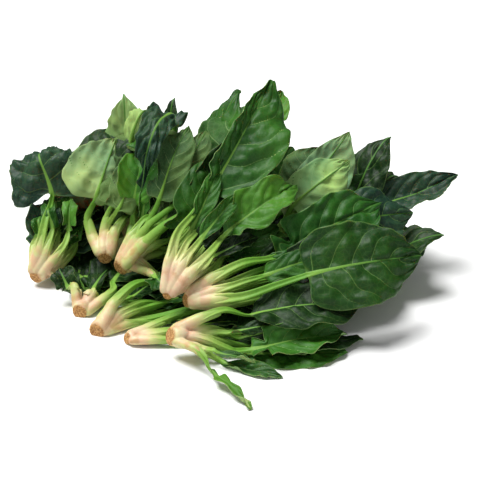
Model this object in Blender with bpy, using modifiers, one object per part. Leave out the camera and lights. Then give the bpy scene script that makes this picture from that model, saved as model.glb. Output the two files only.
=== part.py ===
"""A bunch of spinach lying heaped on a flat surface: twelve plants, each a root crown with its leaves round it.

Every crown is one piece, and every leaf is one piece, its stalk and blade together. The crowns are placed
first, each where PLANTS has it or just above. The leaves are then laid one after another in the order of
LEAVES, and each is bent clear of what already lies there. Tables are in millimetres and degrees. The model is
in metres, +Z up, with the cut roots towards -Y and -X.
"""

import itertools
import math
import random
from typing import NamedTuple

import bmesh
import bpy
import numpy as np
from mathutils import Vector
from mathutils.bvhtree import BVHTree

MM = 0.001

# Driving dimensions
STALK_RADIUS = 3.3 * MM  # where a stalk leaves its crown
NECK_RADIUS = 2.2 * MM  # where the blade begins
TIP_RADIUS = 0.5 * MM  # the midrib near the tip
BLADE_THICKNESS = 0.9 * MM
GROOVE = 0.5  # height of the groove up the inner side of a stalk, as a share of its radius
CROWN_RADIUS = 8.0 * MM  # the collar, at its widest
ROOT_LENGTH = 9.0 * MM  # from the collar down to the cut
SHEATH_LENGTH = 14.0 * MM  # the fleshy foot of each stalk, which belongs to the crown
SHEATH_SWELL = ((0.0, 1.4), (0.5, 1.25), (1.0, 1.0))  # its girth along it, against the stalk's
SHEATH_LEAN = (0.5, 0.55, 0.7)  # how far it follows the crown's axis, its own side of it, and its leaf
SHEATH_SPREAD = 0.5  # how far out it starts, as a share of the collar's radius
STUB_LENGTH = 9.0 * MM  # first stretch of each stalk, which every leaf laid before it keeps clear of
STALK_STEP = 26.0 * MM  # spacing of the sections along a stalk
LEAST_GIRTH = 0.62  # of the narrowest leaf's stalk, against the driving dimensions
FULL_WIDTH = 36  # half width of the leaves that have the full girth
NECK_FLATTENING = 0.35  # of the stalk's section where the blade begins, towards the blade's
GAP = 0.4 * MM  # between neighbouring pieces
SEED = 11

# A leaf's section: COLUMNS points across its upper side and as many across its under side
COLUMNS = 5
AROUND = 2 * COLUMNS
COLUMN_OF = [min(k, AROUND - 1 - k) for k in range(AROUND)]

# Ways out of the heap, which a blade is turned to
UP = (0.0, 0.0, 1.0)
VIEW = (0.0, -0.8, 0.6)
SLOPE = (0.0, -0.5, 0.87)


class Plant(NamedTuple):
    crown: tuple  # centre of the collar
    grows: tuple  # from the cut root towards the leaves
    size: float  # of the crown, against the driving dimensions


class Leaf(NamedTuple):
    plant: str
    outline: str
    width: float  # half of the blade's width
    neck: tuple  # where the blade begins
    tip: tuple
    arch: float  # how far the middle of the blade stands out of the straight line from neck to tip
    out: tuple  # the way out of the heap there
    inside_out: bool  # the under side shows
    fold: float  # of each half up from the midrib
    curl: float  # of each half across its width
    wave: float  # of the margins


# Along the blade from neck (0) to tip (1): place, half width, and how far the rim sweeps back, the last two
# as shares of the widest half width
OUTLINES = {
    "broad": (
        (0.00, 0.07, 0.00), (0.08, 0.62, 0.40), (0.25, 0.97, 0.22), (0.48, 1.00, 0.00),
        (0.70, 0.78, -0.10), (0.90, 0.38, -0.16),
    ),
    "spade": (
        (0.00, 0.07, 0.00), (0.07, 0.66, 0.52), (0.20, 1.00, 0.34), (0.42, 0.86, 0.05),
        (0.68, 0.58, -0.10), (0.90, 0.27, -0.16),
    ),
    "long": (
        (0.00, 0.07, 0.00), (0.13, 0.58, 0.15), (0.35, 0.96, 0.05), (0.58, 1.00, 0.00),
        (0.78, 0.80, -0.12), (0.93, 0.42, -0.20),
    ),
    "eared": (
        (0.00, 0.09, 0.00), (0.06, 0.60, 0.25), (0.15, 0.24, 0.00), (0.25, 0.92, 0.42), (0.42, 0.80, 0.05),
        (0.62, 0.95, 0.00), (0.80, 0.66, -0.10), (0.93, 0.32, -0.16),
    ),
}

PLANTS = {
    "low_left": Plant((-129, -50, 6.8), (0.35, 0.85, 0.30), 1.0),
    "front_left": Plant((-110, -83, 7.5), (0.45, 0.75, 0.35), 1.1),
    "front": Plant((-83, -101, 5.8), (0.90, 0.35, 0.05), 0.85),
    "far_left": Plant((-172, 4, 14), (0.45, 0.50, 0.65), 1.0),
    "front_right": Plant((-45, -125, 20), (0.97, 0.05, 0.05), 1.15),
    "inner_left": Plant((-88, 32, 26), (0.10, 0.60, 0.75), 0.95),
    "inner_right": Plant((30, -20, 28), (0.85, 0.40, 0.45), 0.95),
    "inner_middle": Plant((-25, -15, 30), (0.20, 0.60, 0.75), 0.95),
    "rear_left": Plant((-115, 10, 30), (0.10, 0.75, 0.60), 1.0),
    "mid_left": Plant((-95, -14, 32), (0.60, 0.45, 0.60), 1.15),
    "centre_right": Plant((-35, -80, 30), (0.93, 0.15, 0.25), 1.1),
    "centre": Plant((-54, -80, 33), (0.42, 0.50, 0.72), 1.15),
}

# In the order that they are laid. The first ones lie under the heap and out at its back.
LEAVES = [
    Leaf("low_left", "broad", 31, (-108, -15, 12), (-72, 95, 10), 6, UP, False, 4, -8, 3),
    Leaf("low_left", "long", 27, (-137, -5, 8), (-150, 98, 4), 5, UP, False, 4, -8, 3),
    Leaf("low_left", "eared", 12, (-143, -34, 16), (-152, -22, 28), 1, VIEW, False, 10, 10, 2),
    Leaf("front_left", "broad", 34, (-90, -30, 12), (-52, 78, 9), 6, UP, False, 4, -8, 3),
    Leaf("front_left", "long", 34, (-45, -15, 12), (35, 62, 0), 6, UP, False, 4, -8, 3),
    Leaf("front_left", "spade", 32, (-25, -45, 12), (72, 2, 1), 6, UP, False, 4, -8, 3),
    Leaf("front", "long", 28, (0, -74, 9), (92, -46, 0), 5, UP, False, 4, -8, 3),
    Leaf("front", "long", 20, (-5, -93, 6), (66, -90, 1), 5, UP, False, 4, -8, 3),
    Leaf("far_left", "broad", 34, (-158, 35, 18), (-156, 125, 10), 5, UP, False, 4, -8, 3),
    Leaf("far_left", "long", 28, (-145, 50, 20), (-98, 128, 14), 5, UP, False, 4, -8, 3),
    Leaf("front_right", "eared", 18, (8, -130, 10), (84, -109, 12), 4, SLOPE, False, 20, 10, 4),
    Leaf("front_right", "long", 24, (8, -110, 18), (98, -92, 15), 5, SLOPE, False, 15, -20, 3),
    Leaf("front_right", "eared", 11, (-22, -158, 8), (8, -203, 0), 3, UP, False, 25, 30, 2),
    Leaf("inner_left", "broad", 42, (-118, 78, 66), (-138, 152, 2), 26, (-0.3, 0.4, 0.87), False, 5, -25, 4),
    Leaf("inner_left", "broad", 42, (-72, 88, 76), (-66, 160, 2), 26, (0.0, 0.5, 0.87), False, 5, -25, 4),
    Leaf("inner_middle", "broad", 42, (0, 72, 84), (10, 160, 12), 28, (0.0, 0.45, 0.9), False, 5, -25, 4),
    Leaf("inner_middle", "broad", 40, (48, 60, 72), (75, 135, 40), 24, (0.3, 0.3, 0.9), False, 5, -25, 4),
    Leaf("inner_right", "broad", 36, (68, 44, 30), (108, 118, 0), 14, (0.2, 0.3, 0.93), False, 5, -20, 4),
    Leaf("inner_right", "long", 30, (92, 4, 28), (162, 24, 26), 8, (0.1, 0.0, 1.0), False, 10, -25, 4),
    Leaf("inner_right", "broad", 38, (88, 44, 52), (130, 108, 58), 18, (0.4, 0.1, 0.9), False, 8, -35, 4),
    Leaf("inner_right", "long", 28, (98, 36, 52), (190, 72, 76), -4, (-0.1, -0.5, 0.85), False, 22, 5, 4),
    Leaf("inner_middle", "long", 30, (10, 72, 98), (38, 126, 136), 6, (0.0, -0.5, 0.85), False, 12, 0, 3),
    Leaf("inner_left", "broad", 34, (-116, 66, 72), (-104, 104, 110), 10, (-0.2, -0.6, 0.8), False, 10, -10, 4),
    Leaf("far_left", "long", 17, (-178, 26, 34), (-164, 50, 56), 3, VIEW, False, 15, 10, 4),
    Leaf("far_left", "eared", 18, (-148, 20, 44), (-147, 40, 66), 4, VIEW, False, 20, 20, 4),
    Leaf("far_left", "spade", 36, (-156, 46, 68), (-167, 104, 84), 26, (-0.2, -0.6, 0.8), False, 6, -30, 4),
    Leaf("rear_left", "broad", 34, (-141, 42, 68), (-126, 90, 104), 4, (0.1, -0.8, 0.55), True, 8, 10, 4),
    Leaf("inner_left", "broad", 34, (-102, 62, 106), (-82, 98, 120), 26, (0.0, -0.6, 0.8), True, 12, 20, 4),
    Leaf("rear_left", "broad", 30, (-103, 38, 56), (-92, 76, 104), 5, VIEW, False, 8, -20, 4),
    Leaf("inner_left", "spade", 36, (-70, 92, 118), (-96, 36, 68), 34, (-0.1, -0.7, 0.7), False, 4, -30, 5),
    Leaf("rear_left", "eared", 18, (-92, 34, 46), (-76, 60, 64), 3, VIEW, False, 10, 0, 3),
    Leaf("inner_middle", "broad", 30, (-8, 24, 46), (22, 84, 60), 6, (0.0, -0.3, 0.95), False, 8, -10, 3),
    Leaf("mid_left", "long", 32, (-58, 16, 42), (-14, 66, 56), 6, SLOPE, False, 12, 0, 3),
    Leaf("mid_left", "broad", 41, (-36, 22, 78), (11, 88, 142), 10, (-0.2, -0.7, 0.7), True, 14, 15, 5),
    Leaf("mid_left", "long", 23, (-56, 20, 58), (-44, 60, 98), 4, VIEW, False, 22, 10, 4),
    Leaf("mid_left", "long", 20, (-76, 24, 58), (-66, 58, 95), 4, VIEW, False, 18, 10, 3),
    Leaf("mid_left", "eared", 11, (-82, -38, 14), (-72, -50, 8), 1, VIEW, False, 15, 10, 1),
    Leaf("inner_right", "broad", 34, (50, 30, 66), (96, 70, 117), 4, (0.1, -0.75, 0.65), True, 8, -10, 4),
    Leaf("inner_middle", "long", 26, (36, 34, 78), (54, 66, 113), 3, (0.0, -0.8, 0.6), True, 12, 0, 3),
    Leaf("inner_right", "broad", 36, (34, 20, 68), (96, 38, 78), 6, (0.0, -0.6, 0.8), True, 10, -20, 4),
    Leaf("centre_right", "long", 24, (64, -58, 20), (134, -30, 17), 5, UP, False, 6, -15, 3),
    Leaf("centre_right", "broad", 35, (70, -4, 50), (146, 22, 54), 8, (0.1, -0.7, 0.7), False, 8, -25, 4),
    Leaf("centre", "spade", 34, (-36, -20, 62), (-22, 24, 112), 8, VIEW, False, 16, 0, 5),
    Leaf("centre", "broad", 33, (-16, -8, 78), (35, 74, 150), 8, (0.4, -0.7, 0.6), False, 24, 0, 5),
    Leaf("centre_right", "eared", 34, (34, -58, 48), (124, 0, 70), 6, (-0.1, -0.75, 0.65), False, 15, -10, 5),
    Leaf("centre", "eared", 26, (-6, -54, 46), (52, -36, 58), 5, SLOPE, False, 15, -15, 5),
    Leaf("centre", "long", 30, (-12, -38, 64), (48, 2, 90), 5, (-0.1, -0.7, 0.7), False, 22, 5, 5),
    Leaf("centre_right", "broad", 41, (54, -84, 40), (146, -58, 44), 8, VIEW, False, 10, -25, 5),
]

LEAF_GREEN = (0.05, 0.16, 0.03)
CROWN_PINK = (0.72, 0.47, 0.36)

# Half the crown's section, as radius and height in shares of the collar's radius and the root's length
CROWN_PROFILE = (
    (0.0, 0.9), (0.45, 0.8), (0.85, 0.45), (1.0, 0.0), (0.92, -0.45), (0.72, -0.9), (0.6, -1.0), (0.0, -1.0),
)
CROWN_SIDES = 10

STEPS = 10  # points worked out along each span of a leaf's spine
SAMPLES = 4  # places tried for contact, each way, in each cell of a leaf
SETTLING = 120  # rounds of easing a leaf over what it lies on
NUDGE = 1.0 * MM
MOST_NUDGES = 40
FOOT_BEND = 0.3  # how far a leaf's second section follows its third
MOST_LIFT = 40 * MM
EASY = 12 * MM  # a lift that needs no other place to be tried
SIDEWAYS = (0, 8, -8, 16, -16)  # millimetres that a leaf is moved sideways where it finds no room
TURNS = 4  # ways tried to turn the ring of stalks on a crown
REACH = 12 * MM  # how far out of and into a leaf the others are looked for: it passes by what is further off


def unit(vector):
    vector = np.asarray(vector, float)
    return vector / np.linalg.norm(vector)


def smooth_curve(points, steps=STEPS):
    """The centripetal Catmull-Rom curve through points, with steps points to each span."""
    ends = [2 * points[0] - points[1], *points, 2 * points[-1] - points[-2]]
    curve = []
    for span in zip(ends, ends[1:], ends[2:], ends[3:]):
        knots = [0.0]
        for a, b in zip(span, span[1:]):
            knots.append(knots[-1] + math.sqrt(np.linalg.norm(b - a)))
        for t in np.linspace(knots[1], knots[2], steps, endpoint=False):
            level = span
            for pairs in (zip(knots, knots[1:]), zip(knots, knots[2:]), [(knots[1], knots[2])]):
                level = [
                    ((t1 - t) * a + (t - t0) * b) / (t1 - t0) for a, b, (t0, t1) in zip(level, level[1:], pairs)
                ]
            curve.append(level[0])
    return np.array([*curve, points[-1]])


class Spine:
    """The line a leaf follows from its foot to its tip, with its direction there and the one out of its inner
    side."""

    def __init__(self, leaf, foot, way):
        out = unit(leaf.out)
        neck, tip = np.array(leaf.neck) * MM, np.array(leaf.tip) * MM
        middle = (neck + tip) / 2 + out * leaf.arch * MM
        lead = min(SHEATH_LENGTH, 0.35 * math.dist(neck, foot))
        self.line = smooth_curve([foot, foot + way * lead, neck, middle, tip])
        lowest = np.interp(range(len(self.line)), (2 * STEPS, 4 * STEPS), (STALK_RADIUS, BLADE_THICKNESS / 2))
        self.line[:, 2] = np.maximum(self.line[:, 2], lowest)
        self.arc = np.concatenate([[0], np.cumsum(np.linalg.norm(np.diff(self.line, axis=0), axis=1))])
        self.neck = self.arc[2 * STEPS]
        self.along = np.gradient(self.line, axis=0)
        self.along /= np.linalg.norm(self.along, axis=1, keepdims=True)
        self.inner = self.carried(-out if leaf.inside_out else out, start=3 * STEPS)

    def carried(self, inner, start):
        """The direction inner at point start, carried both ways along the line without twisting."""
        found = np.zeros_like(self.line)
        for way in (range(start, len(self.line)), range(start, -1, -1)):
            side = inner
            for k in way:
                side = unit(side - side @ self.along[k] * self.along[k])
                found[k] = side
        return found

    def at(self, distance):
        """(point, along, inner) at that distance from the foot."""
        found = [
            np.array([np.interp(distance, self.arc, values[:, axis]) for axis in range(3)])
            for values in (self.line, self.along, self.inner)
        ]
        return found[0], unit(found[1]), unit(found[2])


def section(half_width, radius, bladed, fold, curl, ripples):
    """AROUND points (across, up) round a leaf: a grooved stalk where bladed is 0, a blade where it is 1."""
    points = []
    for k, column in enumerate(COLUMN_OF):
        upper = 1 if k < COLUMNS else -1
        angle = math.radians(162 - 36 * k)
        stalk = np.array([math.cos(angle), math.sin(angle)]) * radius
        share = column / 2 - 1  # -1 at one rim, 0 at the midrib, 1 at the other
        side = math.copysign(1, share)
        bend = [math.radians(fold + curl * part) for part in (0.25, 0.75)]
        steps = [half_width / 2 * np.array([side * math.cos(b), math.sin(b)]) for b in bend]
        if share == 0:
            stalk[1] *= GROOVE if upper > 0 else 1
            blade = np.array([0, BLADE_THICKNESS / 2 if upper > 0 else -BLADE_THICKNESS / 2 - radius])
        else:
            reach = 1 if abs(share) < 1 else 2
            last = bend[reach - 1]
            normal = np.array([-side * math.sin(last), math.cos(last)])
            blade = sum(steps[:reach]) + upper * BLADE_THICKNESS / 2 * normal
            blade[1] += ripples[share > 0] * share * share
        points.append(stalk * (1 - bladed) + blade * bladed)
    return points


def sections_of(leaf, spine, number):
    """The leaf's sections (n x AROUND x 3), how many of them are stalk, and the point at its tip."""
    rng = random.Random(f"{SEED} {leaf.plant} {number}")
    half_width = leaf.width * MM
    girth = stalk_girth(leaf)
    stalks = max(2, round(spine.neck / STALK_STEP))
    blade_length = spine.arc[-1] - spine.neck
    rows = [(spine.neck * k / stalks, 0.0, 0.0, 0.0) for k in range(stalks)]
    outline = OUTLINES[leaf.outline]
    for place, width, sweep in outline:
        rows.append((spine.neck + blade_length * place, place, width, sweep))
    turn = rng.choice((-1, 1))
    rings = []
    for distance, place, width, sweep in rows:
        point, along, inner = spine.at(distance)
        across = np.cross(along, inner)
        if place:
            radius = girth * (NECK_RADIUS + (TIP_RADIUS - NECK_RADIUS) * place)
        else:
            radius = girth * (STALK_RADIUS + (NECK_RADIUS - STALK_RADIUS) * distance / spine.neck)
        bladed = 1.0 if place else NECK_FLATTENING if width else 0.0
        turn = -turn
        ripples = [turn * side * leaf.wave * MM * width * rng.uniform(0.4, 1) for side in (-1, 1)]
        ring = section(half_width * width, radius, bladed, leaf.fold, leaf.curl, ripples)
        back = [half_width * width * sweep * abs(column / 2 - 1) ** 2 for column in COLUMN_OF]
        rings.append([point + x * across + y * inner - b * along for (x, y), b in zip(ring, back)])
    return np.array(rings), stalks, spine.at(spine.arc[-1])[0]


def stalk_girth(leaf):
    """A leaf's stalk against the driving dimension: a narrow leaf has a thinner one."""
    return LEAST_GIRTH + (1 - LEAST_GIRTH) * min(1.0, leaf.width / FULL_WIDTH)


def sides(rings):
    """The upper and the under points of each column (each n x COLUMNS x 3)."""
    return rings[:, :COLUMNS], rings[:, : COLUMNS - 1 : -1]


def shifted(rings, shift):
    """The rings with each column's two points moved by shift (n x COLUMNS x 3)."""
    return rings + shift[:, COLUMN_OF]


def off_the_ground(rings, stalks, tip):
    """The rings and the tip raised to lie on the surface where they would be below it."""
    upper, under = sides(rings)
    sunk = np.maximum(0, -np.minimum(upper, under)[:, :, 2])
    sunk[:stalks] = sunk[:stalks].max(axis=1, keepdims=True)
    raised = shifted(rings, sunk[:, :, None] * np.array(UP))
    return raised, np.array([tip[0], tip[1], max(tip[2], BLADE_THICKNESS / 2)])


def swollen(rings, tip):
    """The same leaf grown by GAP all over, to be tried for contact."""
    upper, under = sides(rings)
    up = upper - under
    up = up / np.linalg.norm(up, axis=2, keepdims=True) * GAP
    middle = (upper + under) / 2
    wide = np.zeros_like(middle)
    for rim, inside in ((0, 1), (-1, -2)):
        way = middle[:, rim] - middle[:, inside]
        wide[:, rim] = way / np.linalg.norm(way, axis=1, keepdims=True) * GAP
    grown = np.concatenate([upper + up + wide, (under - up + wide)[:, ::-1]], axis=1)
    return grown, tip + unit(tip - middle[-1, COLUMNS // 2]) * GAP


def skin(rings, tip):
    """(points, triangles) of the closed skin over the rings, poked at the foot and drawn to a point at the tip.
    Both faces of the blade are split along the same diagonals, so that they never cross."""
    points = np.array([p for ring in rings for p in ring] + [rings[0].mean(axis=0), tip])
    foot, end = len(points) - 2, len(points) - 1
    last = (len(rings) - 1) * AROUND
    triangles = []
    for k in range(AROUND):
        after = (k + 1) % AROUND
        triangles.append((after, k, foot))
        triangles.append((last + k, last + after, end))
        for a in range(0, last, AROUND):
            b = a + AROUND
            if k < COLUMNS:
                triangles += [(a + k, b + after, b + k), (a + k, a + after, b + after)]
            else:
                triangles += [(a + k, a + after, b + k), (a + after, b + after, b + k)]
    return points, triangles


class Heap:
    """The pieces on the surface, each as points and triangles, by name."""

    def __init__(self):
        self.pieces = {}

    def tree(self, apart_from):
        """All the pieces but one, to be tried for contact."""
        points, triangles = [], []
        for name, (own_points, own_triangles) in self.pieces.items():
            if name != apart_from:
                start = len(points)
                points += [tuple(p) for p in own_points]
                triangles += [tuple(start + k for k in t) for t in own_triangles]
        return BVHTree.FromPolygons(points, triangles) if points else None


def touching(tree, points, triangles):
    """The numbers of these triangles that cut the heap."""
    if tree is None:
        return []
    other = BVHTree.FromPolygons([tuple(p) for p in points], triangles)
    return sorted({mine for mine, _ in other.overlap(tree)})


def lift_needed(rings, out, tree):
    """How far along out each column of each ring (n x COLUMNS) has to go to lie outside what is near it."""
    need = np.zeros((len(rings), COLUMNS))
    upper, under = sides(rings)
    middle, half = (upper + under) / 2, np.linalg.norm(upper - under, axis=2) / 2
    shares = np.arange(SAMPLES + 1) / SAMPLES
    for ring in range(1, len(rings) - 1):
        for column in range(COLUMNS - 1):
            cell = slice(ring, ring + 2), slice(column, column + 2)
            for a in shares:
                for b in shares:
                    weights = np.outer((1 - a, a), (1 - b, b))
                    point = np.tensordot(weights, middle[cell], 2)
                    hit = tree.ray_cast(tuple(point + out * REACH), tuple(-out), 2 * REACH)[0]
                    if hit is None:
                        continue
                    lift = (np.array(hit) - point) @ out + (weights * half[cell]).sum() + GAP
                    need[cell] = np.maximum(need[cell], lift)
    return need


def eased(need, stalks):
    """The lift of a springy leaf that is held at its foot and has to be lifted by at least need."""
    need = need.copy()
    need[:stalks] = need[:stalks].max(axis=1, keepdims=True)
    lift = need.copy()
    for _ in range(SETTLING):
        wide = np.pad(lift, 1, mode="edge")
        lift = np.maximum(need, (wide[:-2, 1:-1] + wide[2:, 1:-1] + wide[1:-1, :-2] + wide[1:-1, 2:]) / 4)
        lift[:stalks] = lift[:stalks].mean(axis=1, keepdims=True)
        lift[0] = 0
        lift[1] = np.minimum(lift[1], np.maximum(need[1], lift[2] * FOOT_BEND))
    return lift


def moved_clear(rings, stalks, tip, out, tree, most):
    """(farthest lift, rings, tip) of the leaf bent along out until it touches nothing, or None where that takes
    more than the lift most or would put it below the surface."""
    need = lift_needed(rings, out, tree)
    for _ in range(MOST_NUDGES):
        lift = eased(need, stalks)
        bent = shifted(rings, lift[:, :, None] * out)
        bent_tip = tip + lift[-1].mean() * out
        if lift.max() >= most or min(bent[:, :, 2].min(), bent_tip[2]) < 0:
            return None
        found = touching(tree, *skin(*swollen(bent, bent_tip)))
        if not found:
            return lift.max(), bent, bent_tip
        _, triangles = skin(bent, bent_tip)
        for triangle in found:
            for k in triangles[triangle]:
                ring, place = divmod(k, AROUND)
                if 1 < ring < len(rings):
                    column = COLUMN_OF[place]
                    need[ring, column] = max(need[ring, column], lift[ring, column]) + NUDGE
    return None


def laid(leaf, foot, way, number, tree):
    """The leaf's sections and tip, moved sideways and bent outwards or inwards as little as will clear the
    surface and what lies there."""
    out = unit(leaf.out)
    aside = unit(np.cross(np.subtract(leaf.tip, leaf.neck), out))
    best = MOST_LIFT, None, None
    for step in SIDEWAYS:
        moved = leaf._replace(neck=leaf.neck + step * aside, tip=leaf.tip + step * aside)
        rings, stalks, tip = sections_of(moved, Spine(moved, foot, way), number)
        rings, tip = off_the_ground(rings, stalks, tip)
        for direction in (out, -out):
            found = moved_clear(rings, stalks, tip, direction, tree, best[0])
            if found:
                best = found
        if best[0] < EASY:
            break
    if best[1] is None:
        raise RuntimeError(f"no room for {leaf.plant} leaf {number}")
    return best[1], best[2]


def feet_of(name):
    """(start, foot, way) of the sheath of each leaf of a plant. The sheaths stand in a ring round the crown's
    axis, turned and shared out among the leaves so that the stalks come least close to each other."""
    plant = PLANTS[name]
    crown, axis = np.array(plant.crown) * MM, unit(plant.grows)
    first = unit(np.cross(axis, UP))
    second = np.cross(axis, first)
    necks = [np.array(leaf.neck) * MM for leaf in LEAVES if leaf.plant == name]
    crowding, feet = math.inf, []
    for turn in range(TURNS):
        angles = [2 * math.pi * (slot + turn / TURNS) / len(necks) for slot in range(len(necks))]
        radials = [math.cos(angle) * first + math.sin(angle) * second for angle in angles]
        choices = [[sheath_line(crown, axis, side, neck, plant.size) for side in radials] for neck in necks]
        paths = [[path(foot, way, neck) for _, foot, way in row] for row, neck in zip(choices, necks)]
        for order in itertools.permutations(range(len(necks))):
            pairs = itertools.combinations([row[slot] for row, slot in zip(paths, order)], 2)
            crowded = sum(1 / (nearest(a, b) ** 2) for a, b in pairs)
            if crowded < crowding:
                crowding, feet = crowded, [row[slot] for row, slot in zip(choices, order)]
    return feet


def sheath_line(crown, axis, radial, neck, size):
    """(start, foot, way) of a sheath on the radial side of the crown, for a leaf whose blade begins at neck."""
    start = crown + radial * CROWN_RADIUS * size * SHEATH_SPREAD
    way = unit(sum(share * part for share, part in zip(SHEATH_LEAN, (axis, radial, unit(neck - crown)))))
    foot = start + way * SHEATH_LENGTH * size
    foot[2] = max(foot[2], STALK_RADIUS)
    return start, foot, way


def path(foot, way, neck):
    """Points along a stalk, about as it will be laid."""
    lead = foot + way * 0.4 * np.linalg.norm(neck - foot)
    t = np.linspace(0, 1, 7)[:, None]
    return (1 - t) ** 2 * foot + 2 * t * (1 - t) * lead + t * t * neck


def nearest(a, b):
    """The least distance between two rows of points."""
    return np.linalg.norm(a[:, None] - b[None], axis=2).min()


def sheath(leaf, start, foot, way):
    """(points, triangles) of the foot of a stalk, from inside the crown to where the leaf goes on."""
    _, along, inner = Spine(leaf, foot, way).at(0)
    across = np.cross(along, inner)
    rings = []
    for share, swell in SHEATH_SWELL:
        radius = STALK_RADIUS * stalk_girth(leaf) * swell
        centre = start + (foot - start) * share
        rings.append([centre + x * across + y * inner for x, y in section(0, radius, 0, 0, 0, (0, 0))])
    rings = np.array(rings)
    return skin(rings, rings[-1].mean(axis=0))


def stub(leaf, foot, way):
    """(points, triangles) of the first stretch of a stalk, which keeps its room free until the leaf is laid."""
    spine = Spine(leaf, foot, way)
    rings = []
    for distance in (0, min(STUB_LENGTH, spine.neck / 2)):
        point, along, inner = spine.at(distance)
        across = np.cross(along, inner)
        ring = section(0, STALK_RADIUS * stalk_girth(leaf), 0, 0, 0, (0, 0))
        rings.append([point + x * across + y * inner for x, y in ring])
    rings = np.array(rings)
    return skin(rings, rings[-1].mean(axis=0))


def mesh_object(name, points, triangles, collection):
    mesh = bpy.data.meshes.new(name)
    mesh.from_pydata([tuple(p) for p in points], [], triangles)
    mesh.shade_smooth()
    mesh.set_sharp_from_angle(angle=math.radians(40))
    made = bpy.data.objects.new(name, mesh)
    collection.objects.link(made)
    return made


def turned_root(name, plant, collection):
    """The crown's turned body, from the cut end of the taproot to the collar."""
    radius, length = CROWN_RADIUS * plant.size, ROOT_LENGTH * plant.size
    mesh = bpy.data.meshes.new(name)
    profile = [(share * radius, 0, height * length) for share, height in CROWN_PROFILE]
    mesh.from_pydata(profile, [(k, k + 1) for k in range(len(profile) - 1)], [])
    made = bpy.data.objects.new(name, mesh)
    collection.objects.link(made)
    made.location = [c * MM for c in plant.crown]
    made.rotation_euler = Vector(plant.grows).to_track_quat("Z", "Y").to_euler()
    screw = made.modifiers.new("turn", "SCREW")
    screw.steps = screw.render_steps = CROWN_SIDES
    screw.use_merge_vertices = True
    screw.merge_threshold = 0.01 * MM
    return made


def joined(body, pieces):
    """The mesh of body with pieces, a collection of closed meshes, joined to it, in world coordinates."""
    union = body.modifiers.new("join", "BOOLEAN")
    union.operation = "UNION"
    union.operand_type = "COLLECTION"
    union.collection = pieces
    union.solver = "EXACT"
    graph = bpy.context.evaluated_depsgraph_get()
    mesh = bpy.data.meshes.new_from_object(body.evaluated_get(graph))
    mesh.transform(body.matrix_world)
    for piece in list(pieces.objects):
        bpy.data.objects.remove(piece)
    return mesh


def crown_mesh(name, feet, helpers):
    """The crown of a plant with the foot of every stalk joined to it, resting on the surface."""
    plant = PLANTS[name]
    leaves = [leaf for leaf in LEAVES if leaf.plant == name]
    body = turned_root(name, plant, bpy.context.scene.collection)
    for number, (leaf, foot) in enumerate(zip(leaves, feet)):
        mesh_object(f"{name}_sheath_{number}", *sheath(leaf, *foot), helpers)
    bpy.context.view_layer.update()
    mesh = joined(body, helpers)
    bpy.data.objects.remove(body)
    work = bmesh.new()
    work.from_mesh(mesh)
    bmesh.ops.remove_doubles(work, verts=work.verts, dist=0.02 * MM)
    everything = [*work.verts, *work.edges, *work.faces]
    cut = bmesh.ops.bisect_plane(work, geom=everything, plane_co=(0, 0, 0), plane_no=UP, clear_inner=True)
    rim = [piece for piece in cut["geom_cut"] if isinstance(piece, bmesh.types.BMEdge)]
    if rim:
        bmesh.ops.contextual_create(work, geom=rim)
        bmesh.ops.recalc_face_normals(work, faces=work.faces)
    bmesh.ops.triangulate(work, faces=work.faces)
    work.to_mesh(mesh)
    work.free()
    return mesh


def placed(name, helpers, tree):
    """The crown of a plant, the first stretch of each of its stalks, and the foot and way of each, all raised
    together until they are clear of the tree's triangles."""
    lines = feet_of(name)
    mesh = crown_mesh(name, lines, helpers)
    crown = np.array([v.co for v in mesh.vertices]), [tuple(p.vertices) for p in mesh.polygons]
    leaves = [leaf for leaf in LEAVES if leaf.plant == name]
    stubs = [stub(leaf, foot + way * GAP, way) for leaf, (_, foot, way) in zip(leaves, lines)]
    raised = 0.0
    while any(touching(tree, points + (0, 0, raised), triangles) for points, triangles in [crown, *stubs]):
        raised += NUDGE
    if raised:
        raised += GAP
    up = np.array(UP) * raised
    crown[0][:] += up
    crown[0][:, 2] = np.maximum(crown[0][:, 2], 0)
    stubs = [(points + up, triangles) for points, triangles in stubs]
    return crown, stubs, [(foot + up, way) for _, foot, way in lines]


def material(name, colour, roughness):
    made = bpy.data.materials.new(name)
    made.use_nodes = True
    shader = made.node_tree.nodes["Principled BSDF"]
    shader.inputs["Base Color"].default_value = (*colour, 1)
    shader.inputs["Roughness"].default_value = roughness
    return made


def main():
    for old in list(bpy.data.objects):
        bpy.data.objects.remove(old)
    bunch = bpy.data.collections.new("spinach_bunch")
    helpers = bpy.data.collections.new("helpers")
    for collection in (bunch, helpers):
        bpy.context.scene.collection.children.link(collection)
    helpers.hide_render = True
    whole = bpy.data.objects.new("spinach_bunch", None)
    bunch.objects.link(whole)
    pink = material("crown", CROWN_PINK, 0.5)
    green = material("leaf", LEAF_GREEN, 0.4)

    heap, feet, numbers = Heap(), {}, dict.fromkeys(PLANTS, 0)
    for name in PLANTS:
        heap.pieces[f"{name}_crown"], stubs, feet[name] = placed(name, helpers, heap.tree(None))
        for number, piece in enumerate(stubs, start=1):
            heap.pieces[f"{name}_leaf_{number}"] = piece
    for leaf in LEAVES:
        plant = leaf.plant
        foot, way = feet[plant][numbers[plant]]
        numbers[plant] += 1
        name = f"{plant}_leaf_{numbers[plant]}"
        rings, tip = laid(leaf, foot + way * GAP, way, numbers[plant], heap.tree(name))
        heap.pieces[name] = skin(rings, tip)
    for name, (points, triangles) in heap.pieces.items():
        made = mesh_object(name, points, triangles, bunch)
        made.data.materials.append(pink if name.endswith("crown") else green)
        made.parent = whole

    points = np.array([p for points, _ in heap.pieces.values() for p in points])
    low, high = points.min(axis=0), points.max(axis=0)
    whole.location = (-(low[0] + high[0]) / 2, -(low[1] + high[1]) / 2, -low[2])


if __name__ == "__main__":
    main()
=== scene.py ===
"""The looks of a bunch of spinach: whole plants lying heaped, each a pale root crown with its stalks and leaves."""

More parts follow.
